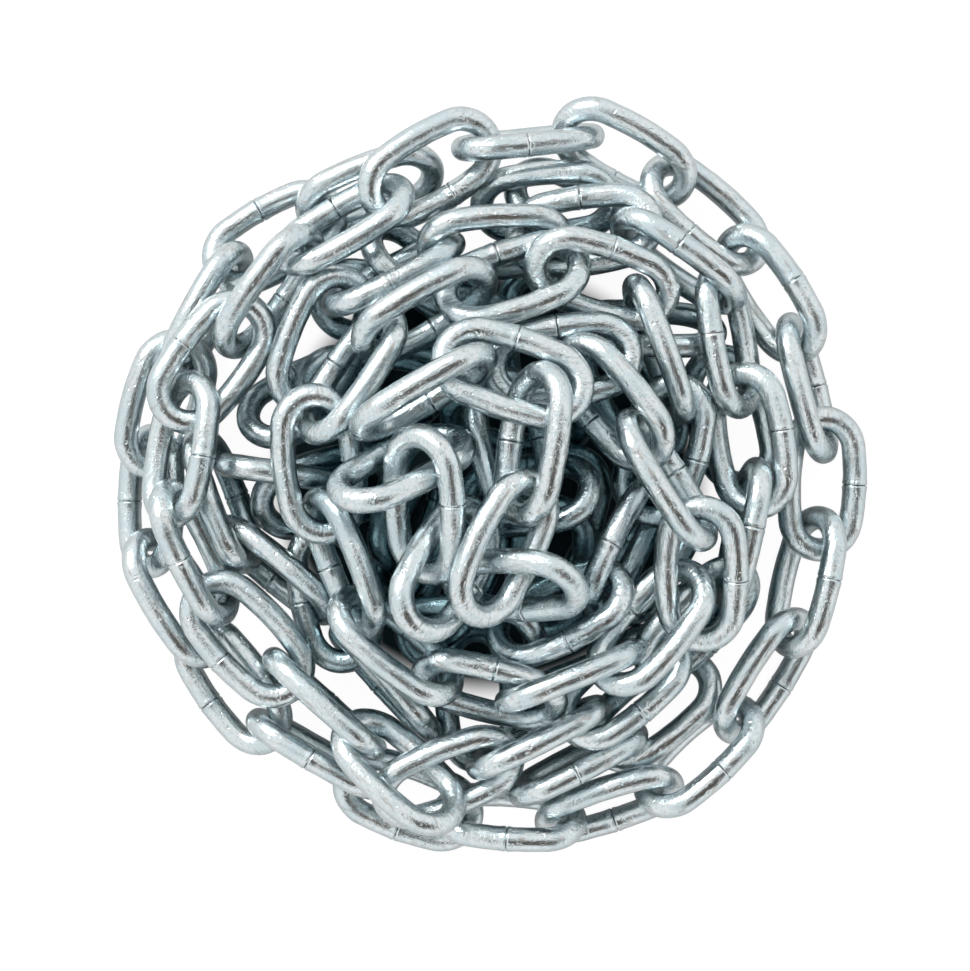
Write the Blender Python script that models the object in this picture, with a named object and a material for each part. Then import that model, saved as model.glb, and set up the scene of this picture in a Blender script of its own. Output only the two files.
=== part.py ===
"""Heap of welded steel chain, laid in turns on a level floor."""

import math

import bmesh
import bpy
import numpy as np
from mathutils import Matrix, Vector

# Sizes of one link, in millimetres.
WIRE = 5.5
INSIDE_LENGTH = 25.2
INSIDE_WIDTH = 10.0
CROWN_RADIUS = 6.6
HALF_REACH = (INSIDE_LENGTH + WIRE) / 2
LIMB_REACH = (INSIDE_WIDTH + WIRE) / 2
CROWN_STEPS = 5
WIRE_SIDES = 8
SECTION_RADIUS = WIRE / 2

# Spacing of wires, centre to centre: loose links, and links that share a solid.
CLEAR = WIRE + 0.32
FUSED = WIRE - 0.7
MILLIMETRE = 0.001

# How the links' places are read: in pixels, from a camera straight above the heap.
PHOTO_CENTRE = (485.0, 485.5)
FLOOR_PIXELS_PER_MM = 4.2
CAMERA_HEIGHT = 400.0

# The plain core that fills the hidden middle of the heap.
CORE_RADIUS = 46.0
CORE_HEIGHT = 20.0
CORE_CLEAR = 3.8
CORE_RINGS = 6
CORE_SIDES = 32
CORE_SHARP_ANGLE = math.radians(40)

# The laying of the chain: rounds, the share of them that each stage lasts, and moves a round.
STEPS = 700
THREADING_STEPS = 60
FIRST_EASE = 0.2
PULLING_SHARE = 0.88
SINKING_SHARE = 0.82
PAIRING_STEPS = 10
LEAST_TURN = 40.0
TURNING_ROUNDS = 60
PULL_START = 0.08
PULL_END = 0.04
WEAK_SHARE = 1 / 3
SINK = 0.005
LONGEST_MOVE = 0.5
MOST_PUSHES = 3
TINY = 1e-9
DIGITS = 6

# Each link, as traced from above: tip x, y and other tip x, y in pixels, then the roll
# of the link in degrees (left side raised) and the height of its middle in millimetres.
OUTER_TURN = [
    (455, 163, 306, 203, -50, 8),
    (351, 198, 215, 271, 5, 8),
    (250, 245, 172, 370, -60, 9),
    (186, 332, 150, 475, -10, 8),
    (137, 425, 138, 579, 30, 7),
    (134, 531, 222, 659, -30, 8),
    (188, 632, 281, 754, 10, 8),
    (246, 722, 386, 797, 58, 9),
    (336, 768, 482, 820, -8, 8),
    (437, 830, 586, 826, -25, 8),
    (534, 827, 680, 777, 65, 10),
    (650, 808, 757, 694, -20, 8),
    (716, 738, 808, 607, 45, 9),
    (798, 655, 820, 504, -45, 9),
    (820, 560, 826, 407, 0, 8),
    (822, 462, 792, 312, 55, 9),
    (815, 358, 720, 230, -60, 10),
    (764, 252, 640, 168, 0, 8),
    (688, 203, 561, 116, -52, 9),
    (607, 129, 461, 149, -73, 11),
]
SECOND_TURN = [
    (502, 132, 367, 207, 0, 19),
    (413, 190, 271, 262, 78, 18),
    (307, 223, 211, 351, -60, 17),
    (266, 303, 163, 424, -5, 18),
    (192, 380, 179, 522, 75, 19),
    (148, 479, 232, 622, -70, 18),
    (197, 584, 296, 705, -50, 12),
    (255, 664, 395, 748, 55, 15),
    (342, 719, 462, 832, -72, 18),
    (370, 808, 517, 738, 52, 21),
    (462, 778, 605, 703, 68, 19),
    (559, 727, 686, 637, 0, 14),
    (652, 672, 751, 560, 20, 13),
    (748, 605, 750, 465, 75, 18),
    (762, 515, 739, 366, -30, 17),
    (738, 413, 716, 258, 55, 17),
    (744, 312, 622, 208, -75, 19),
    (662, 214, 508, 254, -10, 20),
    (588, 236, 432, 256, -58, 16),
    (449, 235, 322, 308, 68, 22),
    (350, 277, 281, 415, 5, 17),
]
THIRD_TURN = [
    (642, 518, 690, 371, -45, 14),
    (692, 423, 629, 272, -72, 25),
    (676, 307, 527, 252, -10, 23),
    (578, 252, 431, 290, 10, 26),
    (488, 270, 370, 356, -65, 29),
    (386, 304, 307, 438, 68, 28),
    (313, 383, 330, 547, 0, 25),
    (311, 503, 370, 627, 60, 23),
    (326, 585, 458, 698, -60, 26),
    (413, 672, 570, 717, 40, 22),
    (500, 705, 646, 656, 65, 25),
    (603, 695, 704, 557, -45, 23),
    (700, 649, 704, 494, -35, 26),
    (718, 545, 622, 408, 72, 31),
    (660, 462, 560, 345, -45, 28),
    (638, 350, 482, 372, 0, 27),
]
TOP_TURN = [
    (367, 437, 485, 342, 72, 37),
    (431, 353, 590, 405, 0, 38),
    (551, 356, 517, 523, 50, 39),
    (541, 473, 461, 622, -15, 39),
    (582, 578, 462, 606, -40, 33),
    (405, 642, 481, 488, 12, 33),
    (412, 577, 427, 416, -30, 46),
    (470, 434, 341, 498, 48, 38),
]
LOW_LEFT = [
    (200, 432, 240, 576, -70, 12),
    (203, 536, 324, 616, 60, 11),
    (318, 512, 342, 652, 0, 13),
]
LOW_RIGHT = [
    (398, 640, 541, 640, 10, 14),
    (486, 648, 624, 582, -60, 19),
    (600, 627, 659, 488, 60, 16),
]
LOW_BOTTOM = [
    (508, 792, 652, 752, 70, 10),
    (593, 757, 717, 668, -20, 9),
]
LOW_TOP = [
    (648, 232, 509, 172, 20, 6),
    (618, 186, 470, 206, -66, 8),
]
LOW_FRONT = [
    (325, 655, 450, 750, 40, 11),
]
LOW_MIDDLE = [
    (505, 520, 513, 372, 75, 20),
]
RUNS = {
    "outer_turn": OUTER_TURN,
    "second_turn": SECOND_TURN,
    "third_turn": THIRD_TURN,
    "top_turn": TOP_TURN,
    "low_left": LOW_LEFT,
    "low_right": LOW_RIGHT,
    "low_bottom": LOW_BOTTOM,
    "low_top": LOW_TOP,
    "low_front": LOW_FRONT,
    "low_middle": LOW_MIDDLE,
}

# Lengths of chain: each is one run, or runs that follow on from one another.
STRANDS = (
    ("outer_turn", "second_turn"),
    ("low_right", "third_turn"),
    ("top_turn",),
    ("low_left", "low_front"),
    ("low_bottom",),
    ("low_top",),
    ("low_middle",),
)

# Links whose second tip lies lower than the first, by so many millimetres.
DIPS = {
    "top_turn_link_05": 26.0,
    "top_turn_link_06": 14.0,
    "top_turn_link_08": -18.0,
}

# Links (counted from nought) that share a solid with the link after them.
FUSED_LINKS = {
    "outer_turn": (0, 2, 6),
    "second_turn": (4, 7, 12, 15, 18),
    "third_turn": (0, 7, 14),
    "top_turn": (4,),
    "low_left": (0, 1),
    "low_right": (0, 1),
    "low_bottom": (0,),
    "low_top": (0,),
    "low_front": (),
    "low_middle": (),
}


def link_outline():
    """Centre line of one link, lying in its own plane, with limbs that bow outwards."""
    straight = HALF_REACH - CROWN_RADIUS
    angles = np.linspace(-np.pi / 2, np.pi / 2, CROWN_STEPS + 1)
    crown = np.stack([straight + CROWN_RADIUS * np.cos(angles), CROWN_RADIUS * np.sin(angles)], 1)
    limb = [[0.0, CROWN_RADIUS]]
    outline = np.vstack([crown, limb, -crown, -np.array(limb)])
    fall = 1.0 - (outline[:, 0] / HALF_REACH) ** 2
    outline[:, 1] *= 1.0 + (LIMB_REACH / CROWN_RADIUS - 1.0) * fall**2
    return np.column_stack([outline, np.zeros(len(outline))])


def rolled_frame(axis, roll):
    """Axis, side and normal of a link whose left side is raised by the roll."""
    axis = axis / np.linalg.norm(axis)
    left = np.cross([0.0, 0.0, 1.0], axis)
    left /= np.linalg.norm(left)
    up = np.cross(axis, left)
    turn = math.radians(roll)
    side = left * math.cos(turn) + up * math.sin(turn)
    return np.stack([axis, side, np.cross(axis, side)], 1)


def pixels_per_mm(height):
    """Scale of the photo at a height above the floor."""
    return FLOOR_PIXELS_PER_MM * CAMERA_HEIGHT / (CAMERA_HEIGHT - height)


def traced_pose(row, dip):
    """Middle in pixels, height and frame of a traced link."""
    tip_x, tip_y, other_x, other_y, roll, height = row
    tip = np.array([tip_x - PHOTO_CENTRE[0], PHOTO_CENTRE[1] - tip_y])
    other = np.array([other_x - PHOTO_CENTRE[0], PHOTO_CENTRE[1] - other_y])
    heading = np.append((other - tip) / pixels_per_mm(height), -dip)
    return (tip + other) / 2, float(height), rolled_frame(heading, roll)


def spread_rolls(rolls):
    """Turn neighbouring links apart until one can pass through the other."""
    rolls = list(rolls)
    for _ in range(TURNING_ROUNDS):
        for k in range(len(rolls) - 1):
            gap = (rolls[k + 1] - rolls[k] + 90.0) % 180.0 - 90.0
            if abs(gap) < LEAST_TURN:
                nudge = math.copysign((LEAST_TURN - abs(gap)) / 2, gap)
                rolls[k] -= nudge
                rolls[k + 1] += nudge
    return rolls


def threaded_run(centres, frames, rolls):
    """Place each link of a run from one joint to the next, so that all are threaded."""
    half = INSIDE_LENGTH / 2
    heads = [c - f[:, 0] * half for c, f in zip(centres, frames)]
    tails = [c + f[:, 0] * half for c, f in zip(centres, frames)]
    joints = [heads[0]]
    joints += [(tail + head) / 2 for tail, head in zip(tails[:-1], heads[1:])]
    joints.append(tails[-1])
    threaded = []
    for first, second, roll in zip(joints[:-1], joints[1:], spread_rolls(rolls)):
        threaded.append(((first + second) / 2, rolled_frame(second - first, roll)))
    return threaded


def core_top(x, y):
    """Height of the plain core at a place on the floor."""
    fall = (x * x + y * y) / CORE_RADIUS**2
    return CORE_HEIGHT * np.clip(1.0 - fall, 0.0, 1.0)


def closest_on_segments(start_a, span_a, start_b, span_b):
    """Places along pairs of segments where they are nearest to each other."""
    offset = start_a - start_b
    aa = np.einsum("ij,ij->i", span_a, span_a)
    bb = np.einsum("ij,ij->i", span_b, span_b)
    ab = np.einsum("ij,ij->i", span_a, span_b)
    ao = np.einsum("ij,ij->i", span_a, offset)
    bo = np.einsum("ij,ij->i", span_b, offset)
    spread = aa * bb - ab * ab
    crossing = spread > TINY
    safe = np.where(crossing, spread, 1.0)
    along_a = np.where(crossing, np.clip((ab * bo - ao * bb) / safe, 0, 1), 0.5)
    along_b = np.clip((ab * along_a + bo) / bb, 0, 1)
    along_a = np.clip((ab * along_b - ao) / aa, 0, 1)
    return along_a, along_b


class Heap:
    """Rigid links that are pushed apart, pulled to the traced places and lowered."""

    def __init__(self):
        self.outline = link_outline()
        self.names, self.fused = [], []
        traced, started = [], []
        for strand in STRANDS:
            poses, rolls = [], []
            for run_name in strand:
                self.fused += [len(self.names) + k for k in FUSED_LINKS[run_name]]
                for number, row in enumerate(RUNS[run_name], 1):
                    name = f"{run_name}_link_{number:02d}"
                    self.names.append(name)
                    poses.append(traced_pose(row, DIPS.get(name, 0.0)))
                    rolls.append(row[4])
            traced += poses
            centres = [np.append(p[0] / pixels_per_mm(p[1]), p[1]) for p in poses]
            started += threaded_run(centres, [p[2] for p in poses], rolls)
        self.traced_pixels = np.array([pose[0] for pose in traced])
        self.traced_heights = np.array([pose[1] for pose in traced])
        self.traced_frames = np.array([pose[2] for pose in traced])
        self.centres = np.array([pose[0] for pose in started])
        self.frames = np.array([pose[1] for pose in started])
        self.clear = np.full((len(traced), len(traced)), CLEAR)
        for k in self.fused:
            self.clear[k, k + 1] = FUSED
        self.easy_turn = self.inverse_inertia()

    def inverse_inertia(self):
        """Ease of turning about the axis, the side and the normal, for unit mass."""
        spread = (self.outline**2).mean(axis=0)
        return 1.0 / np.array([spread[1] + spread[2], spread[0] + spread[2], spread[0] + spread[1]])

    def points(self):
        """Centre-line points of every link."""
        turned = np.einsum("nij,kj->nki", self.frames, self.outline)
        return self.centres[:, None, :] + turned

    def near_pairs(self):
        """Pairs of links that could touch."""
        apart = np.linalg.norm(self.centres[:, None] - self.centres[None], axis=2)
        return np.where(np.triu(apart < 2 * HALF_REACH + 2 * WIRE, 1))

    def turning(self, index, arm, push):
        """Spin per unit of push, and how easily the point gives way."""
        torque = np.cross(arm, push)
        own = np.einsum("nji,nj->ni", self.frames[index], torque) * self.easy_turn
        spin = np.einsum("nij,nj->ni", self.frames[index], own)
        return spin, 1.0 + np.einsum("ni,ni->n", spin, torque)

    def part_wires(self, pairs, ease, moves, spins):
        """Push apart the links whose wires are closer than their clearance."""
        one, two = pairs
        points = self.points()
        spans = np.roll(points, -1, axis=1) - points
        middles = points + spans / 2
        reach = np.linalg.norm(spans, axis=2) / 2
        apart = np.linalg.norm(middles[one][:, :, None] - middles[two][:, None], axis=3)
        limit = reach[one][:, :, None] + reach[two][:, None] + CLEAR
        pair, seg_one, seg_two = np.where(apart < limit)
        a, b = one[pair], two[pair]
        along_a, along_b = closest_on_segments(
            points[a, seg_one], spans[a, seg_one], points[b, seg_two], spans[b, seg_two])
        at_a = points[a, seg_one] + spans[a, seg_one] * along_a[:, None]
        at_b = points[b, seg_two] + spans[b, seg_two] * along_b[:, None]
        gap = np.linalg.norm(at_a - at_b, axis=1)
        depth = self.clear[a, b] * ease - gap
        hit = depth > 0
        a, b, pair, depth, gap = a[hit], b[hit], pair[hit], depth[hit], gap[hit]
        push = (at_a[hit] - at_b[hit]) / np.maximum(gap, TINY)[:, None]
        spin_a, give_a = self.turning(a, at_a[hit] - self.centres[a], push)
        spin_b, give_b = self.turning(b, at_b[hit] - self.centres[b], push)
        share = (depth / (give_a + give_b) * depth)[:, None]
        np.add.at(moves, a, share * push)
        np.add.at(moves, b, -share * push)
        np.add.at(spins, a, share * spin_a)
        np.add.at(spins, b, -share * spin_b)
        weight = np.full(len(moves), TINY)
        np.add.at(weight, a, depth)
        np.add.at(weight, b, depth)
        partners = np.zeros(len(moves))
        touching = np.unique(pair)
        np.add.at(partners, one[touching], 1)
        np.add.at(partners, two[touching], 1)
        gain = (np.clip(partners, 1, MOST_PUSHES) / weight)[:, None]
        moves *= gain
        spins *= gain

    def join_fused(self, moves):
        """Draw together the links that share a solid."""
        points = self.points()
        count = points.shape[1]
        first, second = np.divmod(np.arange(count * count), count)
        for k in self.fused:
            spans = np.roll(points[k], -1, axis=0) - points[k]
            spans_next = np.roll(points[k + 1], -1, axis=0) - points[k + 1]
            along, along_next = closest_on_segments(
                points[k][first], spans[first], points[k + 1][second], spans_next[second])
            here = points[k][first] + spans[first] * along[:, None]
            there = points[k + 1][second] + spans_next[second] * along_next[:, None]
            apart = np.linalg.norm(there - here, axis=1)
            nearest = int(np.argmin(apart))
            if apart[nearest] > FUSED:
                step = (there - here)[nearest] * (1.0 - FUSED / apart[nearest]) / 2
                moves[k] += step
                moves[k + 1] -= step

    def rest_on_ground(self, moves, spins):
        """Lift the links that dip into the floor or the core."""
        points = self.points()
        ground = core_top(points[:, :, 0], points[:, :, 1]) + CORE_CLEAR
        over_core = np.hypot(points[:, :, 0], points[:, :, 1]) < CORE_RADIUS + CORE_CLEAR
        dip = np.where(over_core, ground, SECTION_RADIUS) - points[:, :, 2]
        for k in np.where(dip.max(axis=1) > 0)[0]:
            weight = np.clip(dip[k], 0, None)[:, None]
            arm = ((points[k] - self.centres[k]) * weight).sum(axis=0) / weight.sum()
            up = np.array([[0.0, 0.0, 1.0]])
            spin, give = self.turning(np.array([k]), arm[None], up)
            moves[k] += up[0] * dip[k].max() / give[0]
            spins[k] += spin[0] * dip[k].max() / give[0]

    def pull_to_photo(self, pull, moves, spins):
        """Draw each link to its traced place, and more weakly to its height and turn."""
        target = self.traced_pixels / pixels_per_mm(self.centres[:, 2])[:, None]
        moves[:, :2] += pull * (target - self.centres[:, :2])
        moves[:, 2] += pull * WEAK_SHARE * (self.traced_heights - self.centres[:, 2])
        astray = np.cross(self.frames, self.traced_frames, axis=1).sum(axis=2)
        spins += pull * WEAK_SHARE * astray

    def turn_by(self, spins):
        """Turn the frames by small rotation vectors."""
        angle = np.linalg.norm(spins, axis=1)
        unit = spins / np.maximum(angle, TINY)[:, None]
        cross = np.zeros_like(self.frames)
        cross[:, 0, 1], cross[:, 0, 2], cross[:, 1, 2] = -unit[:, 2], unit[:, 1], -unit[:, 0]
        cross[:, 1, 0], cross[:, 2, 0], cross[:, 2, 1] = unit[:, 2], -unit[:, 1], unit[:, 0]
        sine = np.sin(angle)[:, None, None]
        cosine = np.cos(angle)[:, None, None]
        rotation = np.eye(3) + sine * cross + (1 - cosine) * (cross @ cross)
        self.frames = np.round(rotation @ self.frames, DIGITS)

    def step(self, pairs, ease, pull, sink):
        """One round of pushing apart, pulling back and lowering."""
        moves = np.zeros_like(self.centres)
        spins = np.zeros_like(self.centres)
        self.part_wires(pairs, ease, moves, spins)
        self.join_fused(moves)
        self.rest_on_ground(moves, spins)
        self.pull_to_photo(pull, moves, spins)
        moves[:, 2] -= sink
        longest = np.linalg.norm(moves, axis=1)
        moves *= np.minimum(1, LONGEST_MOVE / np.maximum(longest, TINY))[:, None]
        widest = np.linalg.norm(spins, axis=1)
        spins *= np.minimum(1, LONGEST_MOVE / HALF_REACH / np.maximum(widest, TINY))[:, None]
        self.centres = np.round(self.centres + moves, DIGITS)
        self.turn_by(spins)

    def settle(self):
        """Lay the whole heap, with wires that thicken to full size in the first rounds."""
        for step in range(STEPS):
            done = step / STEPS
            if step % PAIRING_STEPS == 0:
                pairs = self.near_pairs()
            ease = min(1.0, FIRST_EASE + (1 - FIRST_EASE) * step / THREADING_STEPS)
            pull = PULL_START * (1 - done) + PULL_END if done < PULLING_SHARE else 0.0
            sink = SINK if done < SINKING_SHARE else 0.0
            self.step(pairs, ease, pull, sink)

    def nodes(self):
        """Groups of links that share a solid, each with its name."""
        groups = []
        for k in range(len(self.names)):
            if k - 1 in self.fused:
                groups[-1].append(k)
            else:
                groups.append([k])
        named = {}
        for group in groups:
            name = self.names[group[0]]
            if len(group) > 1:
                name = f"{name.replace('link', 'links')}_to_{self.names[group[-1]][-2:]}"
            named[name] = group
        return named


def principled(name, colour, metallic, roughness):
    """A plain material with one Principled shader."""
    material = bpy.data.materials.new(name)
    material.use_nodes = True
    shader = material.node_tree.nodes["Principled BSDF"]
    shader.inputs["Base Color"].default_value = (*colour, 1.0)
    shader.inputs["Metallic"].default_value = metallic
    shader.inputs["Roughness"].default_value = roughness
    material.diffuse_color = (*colour, 1.0)
    return material


def link_mesh(material):
    """One link: a round wire swept around its centre line."""
    curve = bpy.data.curves.new("link_wire", "CURVE")
    curve.dimensions = "3D"
    curve.bevel_depth = SECTION_RADIUS * MILLIMETRE
    curve.bevel_resolution = WIRE_SIDES // 2 - 2
    outline = link_outline()
    spline = curve.splines.new("POLY")
    spline.points.add(len(outline) - 1)
    for point, place in zip(spline.points, outline):
        point.co = (*(place * MILLIMETRE), 1.0)
    spline.use_cyclic_u = True
    holder = bpy.data.objects.new("link_wire", curve)
    bpy.context.scene.collection.objects.link(holder)
    evaluated = holder.evaluated_get(bpy.context.evaluated_depsgraph_get())
    mesh = bpy.data.meshes.new_from_object(evaluated)
    bpy.data.objects.remove(holder)
    mesh.name = "chain_link"
    mesh.materials.clear()
    mesh.materials.append(material)
    mesh.shade_smooth()
    return mesh


def place_link(name, mesh, centre, frame, collection):
    """One copy of the link at its place in the heap."""
    link = bpy.data.objects.new(name, mesh)
    turn = Matrix([list(row) for row in frame]).to_4x4()
    link.matrix_world = Matrix.Translation(Vector(centre) * MILLIMETRE) @ turn
    collection.objects.link(link)
    return link


def fuse(link, others):
    """Weld neighbouring links into one solid."""
    for other in others:
        other.hide_render = True
        other.display_type = "WIRE"
        modifier = link.modifiers.new(f"with_{other.name}", "BOOLEAN")
        modifier.operation = "UNION"
        modifier.solver = "EXACT"
        modifier.object = other


def add_core(centre, material, collection):
    """The plain mound that stands for the hidden middle of the heap."""
    radii = np.linspace(0.0, CORE_RADIUS, CORE_RINGS + 1)
    profile = [(radius, CORE_HEIGHT * (1.0 - (radius / CORE_RADIUS) ** 2)) for radius in radii]
    profile.append((0.0, 0.0))
    body = bmesh.new()
    corners = [body.verts.new((x * MILLIMETRE, 0.0, z * MILLIMETRE)) for x, z in profile]
    edges = [body.edges.new(pair) for pair in zip(corners[:-1], corners[1:])]
    bmesh.ops.spin(body, geom=corners + edges, axis=(0, 0, 1), cent=(0, 0, 0),
                   angle=math.tau, steps=CORE_SIDES)
    bmesh.ops.remove_doubles(body, verts=body.verts, dist=MILLIMETRE / 100)
    bmesh.ops.recalc_face_normals(body, faces=body.faces)
    mesh = bpy.data.meshes.new("hidden_core")
    body.to_mesh(mesh)
    body.free()
    mesh.materials.append(material)
    mesh.shade_smooth()
    mesh.set_sharp_from_angle(angle=CORE_SHARP_ANGLE)
    core = bpy.data.objects.new("hidden_core", mesh)
    core.location = Vector(centre) * MILLIMETRE
    collection.objects.link(core)


def clear_scene():
    """Remove whatever the scene holds at the start."""
    for item in list(bpy.data.objects):
        bpy.data.objects.remove(item)


def new_collection(name):
    """A collection hung on the scene."""
    collection = bpy.data.collections.new(name)
    bpy.context.scene.collection.children.link(collection)
    return collection


def main():
    """Lay the chain and build every solid of the heap."""
    clear_scene()
    parts = new_collection("heap_of_steel_chain")
    tools = new_collection("union_tools")
    heap = Heap()
    heap.settle()
    points = heap.points()
    low, high = points.min(axis=(0, 1)), points.max(axis=(0, 1))
    middle = np.array([(low[0] + high[0]) / 2, (low[1] + high[1]) / 2, 0.0])
    mesh = link_mesh(principled("zinc_plated_steel", (0.72, 0.74, 0.76), 1.0, 0.32))
    for name, group in heap.nodes().items():
        links = []
        for k in group:
            home = parts if k == group[0] else tools
            label = name if k == group[0] else heap.names[k]
            links.append(place_link(label, mesh, heap.centres[k] - middle, heap.frames[k], home))
        fuse(links[0], links[1:])
    add_core(-middle, principled("core_grey", (0.10, 0.11, 0.12), 1.0, 0.6), parts)


main()
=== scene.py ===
"""The heap of steel chain, dressed: every link in full, zinc finish, floor, light and camera."""
import math

import bmesh
import bpy
import numpy as np
from bpy.props import FloatProperty, FloatVectorProperty, IntProperty, PointerProperty
from mathutils import Matrix, Vector


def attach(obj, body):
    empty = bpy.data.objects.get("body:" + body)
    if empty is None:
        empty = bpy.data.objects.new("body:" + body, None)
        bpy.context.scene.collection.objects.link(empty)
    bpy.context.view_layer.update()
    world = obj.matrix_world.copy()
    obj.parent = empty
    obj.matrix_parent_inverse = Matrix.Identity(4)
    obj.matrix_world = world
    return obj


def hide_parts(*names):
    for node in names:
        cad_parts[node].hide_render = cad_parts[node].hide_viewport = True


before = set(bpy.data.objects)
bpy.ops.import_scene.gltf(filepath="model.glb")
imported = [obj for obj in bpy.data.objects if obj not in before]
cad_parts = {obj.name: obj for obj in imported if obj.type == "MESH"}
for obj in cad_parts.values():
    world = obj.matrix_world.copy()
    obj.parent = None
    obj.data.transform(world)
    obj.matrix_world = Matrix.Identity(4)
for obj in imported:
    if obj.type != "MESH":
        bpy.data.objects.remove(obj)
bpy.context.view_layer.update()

bl_info = {
    "name": "Heap of Steel Chain",
    "version": (1, 0, 0),
    "blender": (4, 5, 0),
    "location": "View3D > Sidebar > Chain Heap",
    "description": "Lays a heap of welded steel chain and gives it its zinc finish",
    "category": "Object",
}

MILLIMETRE = 0.001

# Sizes of one link, in millimetres.
WIRE = 5.5
INSIDE_LENGTH = 25.2
INSIDE_WIDTH = 10.0
CROWN_RADIUS = 6.6
HALF_REACH = (INSIDE_LENGTH + WIRE) / 2
LIMB_REACH = (INSIDE_WIDTH + WIRE) / 2
CROWN_STEPS = 5
SECTION_RADIUS = WIRE / 2

# Spacing of wires, centre to centre: loose links, and links that share a solid.
CLEAR = WIRE + 0.32
FUSED = WIRE - 0.7

# How the links' places are read: in pixels, from a camera straight above the heap.
PHOTO_CENTRE = (485.0, 485.5)
FLOOR_PIXELS_PER_MM = 4.2
CAMERA_HEIGHT = 400.0

# The plain core that fills the hidden middle of the heap, in millimetres.
CORE_RADIUS = 46.0
CORE_HEIGHT = 20.0
CORE_CLEAR = 3.8

# The laying of the chain: rounds, the share of them that each stage lasts, and moves a round.
STEPS = 700
THREADING_STEPS = 60
FIRST_EASE = 0.2
PULLING_SHARE = 0.88
SINKING_SHARE = 0.82
PAIRING_STEPS = 10
LEAST_TURN = 40.0
TURNING_ROUNDS = 60
PULL_START = 0.08
PULL_END = 0.04
WEAK_SHARE = 1 / 3
SINK = 0.005
LONGEST_MOVE = 0.5
MOST_PUSHES = 3
TINY = 1e-9
DIGITS = 6

# Each link, as traced from above: tip x, y and other tip x, y in pixels, then the roll
# of the link in degrees (left side raised) and the height of its middle in millimetres.
OUTER_TURN = [
    (455, 163, 306, 203, -50, 8),
    (351, 198, 215, 271, 5, 8),
    (250, 245, 172, 370, -60, 9),
    (186, 332, 150, 475, -10, 8),
    (137, 425, 138, 579, 30, 7),
    (134, 531, 222, 659, -30, 8),
    (188, 632, 281, 754, 10, 8),
    (246, 722, 386, 797, 58, 9),
    (336, 768, 482, 820, -8, 8),
    (437, 830, 586, 826, -25, 8),
    (534, 827, 680, 777, 65, 10),
    (650, 808, 757, 694, -20, 8),
    (716, 738, 808, 607, 45, 9),
    (798, 655, 820, 504, -45, 9),
    (820, 560, 826, 407, 0, 8),
    (822, 462, 792, 312, 55, 9),
    (815, 358, 720, 230, -60, 10),
    (764, 252, 640, 168, 0, 8),
    (688, 203, 561, 116, -52, 9),
    (607, 129, 461, 149, -73, 11),
]
SECOND_TURN = [
    (502, 132, 367, 207, 0, 19),
    (413, 190, 271, 262, 78, 18),
    (307, 223, 211, 351, -60, 17),
    (266, 303, 163, 424, -5, 18),
    (192, 380, 179, 522, 75, 19),
    (148, 479, 232, 622, -70, 18),
    (197, 584, 296, 705, -50, 12),
    (255, 664, 395, 748, 55, 15),
    (342, 719, 462, 832, -72, 18),
    (370, 808, 517, 738, 52, 21),
    (462, 778, 605, 703, 68, 19),
    (559, 727, 686, 637, 0, 14),
    (652, 672, 751, 560, 20, 13),
    (748, 605, 750, 465, 75, 18),
    (762, 515, 739, 366, -30, 17),
    (738, 413, 716, 258, 55, 17),
    (744, 312, 622, 208, -75, 19),
    (662, 214, 508, 254, -10, 20),
    (588, 236, 432, 256, -58, 16),
    (449, 235, 322, 308, 68, 22),
    (350, 277, 281, 415, 5, 17),
]
THIRD_TURN = [
    (642, 518, 690, 371, -45, 14),
    (692, 423, 629, 272, -72, 25),
    (676, 307, 527, 252, -10, 23),
    (578, 252, 431, 290, 10, 26),
    (488, 270, 370, 356, -65, 29),
    (386, 304, 307, 438, 68, 28),
    (313, 383, 330, 547, 0, 25),
    (311, 503, 370, 627, 60, 23),
    (326, 585, 458, 698, -60, 26),
    (413, 672, 570, 717, 40, 22),
    (500, 705, 646, 656, 65, 25),
    (603, 695, 704, 557, -45, 23),
    (700, 649, 704, 494, -35, 26),
    (718, 545, 622, 408, 72, 31),
    (660, 462, 560, 345, -45, 28),
    (638, 350, 482, 372, 0, 27),
]
TOP_TURN = [
    (367, 437, 485, 342, 72, 37),
    (431, 353, 590, 405, 0, 38),
    (551, 356, 517, 523, 50, 39),
    (541, 473, 461, 622, -15, 39),
    (582, 578, 462, 606, -40, 33),
    (405, 642, 481, 488, 12, 33),
    (412, 577, 427, 416, -30, 46),
    (470, 434, 341, 498, 48, 38),
]
LOW_LEFT = [
    (200, 432, 240, 576, -70, 12),
    (203, 536, 324, 616, 60, 11),
    (318, 512, 342, 652, 0, 13),
]
LOW_RIGHT = [
    (398, 640, 541, 640, 10, 14),
    (486, 648, 624, 582, -60, 19),
    (600, 627, 659, 488, 60, 16),
]
LOW_BOTTOM = [
    (508, 792, 652, 752, 70, 10),
    (593, 757, 717, 668, -20, 9),
]
LOW_TOP = [
    (648, 232, 509, 172, 20, 6),
    (618, 186, 470, 206, -66, 8),
]
LOW_FRONT = [
    (325, 655, 450, 750, 40, 11),
]
LOW_MIDDLE = [
    (505, 520, 513, 372, 75, 20),
]
RUNS = {
    "outer_turn": OUTER_TURN,
    "second_turn": SECOND_TURN,
    "third_turn": THIRD_TURN,
    "top_turn": TOP_TURN,
    "low_left": LOW_LEFT,
    "low_right": LOW_RIGHT,
    "low_bottom": LOW_BOTTOM,
    "low_top": LOW_TOP,
    "low_front": LOW_FRONT,
    "low_middle": LOW_MIDDLE,
}

# Lengths of chain: each is one run, or runs that follow on from one another.
STRANDS = (
    ("outer_turn", "second_turn"),
    ("low_right", "third_turn"),
    ("top_turn",),
    ("low_left", "low_front"),
    ("low_bottom",),
    ("low_top",),
    ("low_middle",),
)

# Links whose second tip lies lower than the first, by so many millimetres.
DIPS = {
    "top_turn_link_05": 26.0,
    "top_turn_link_06": 14.0,
    "top_turn_link_08": -18.0,
}

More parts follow.
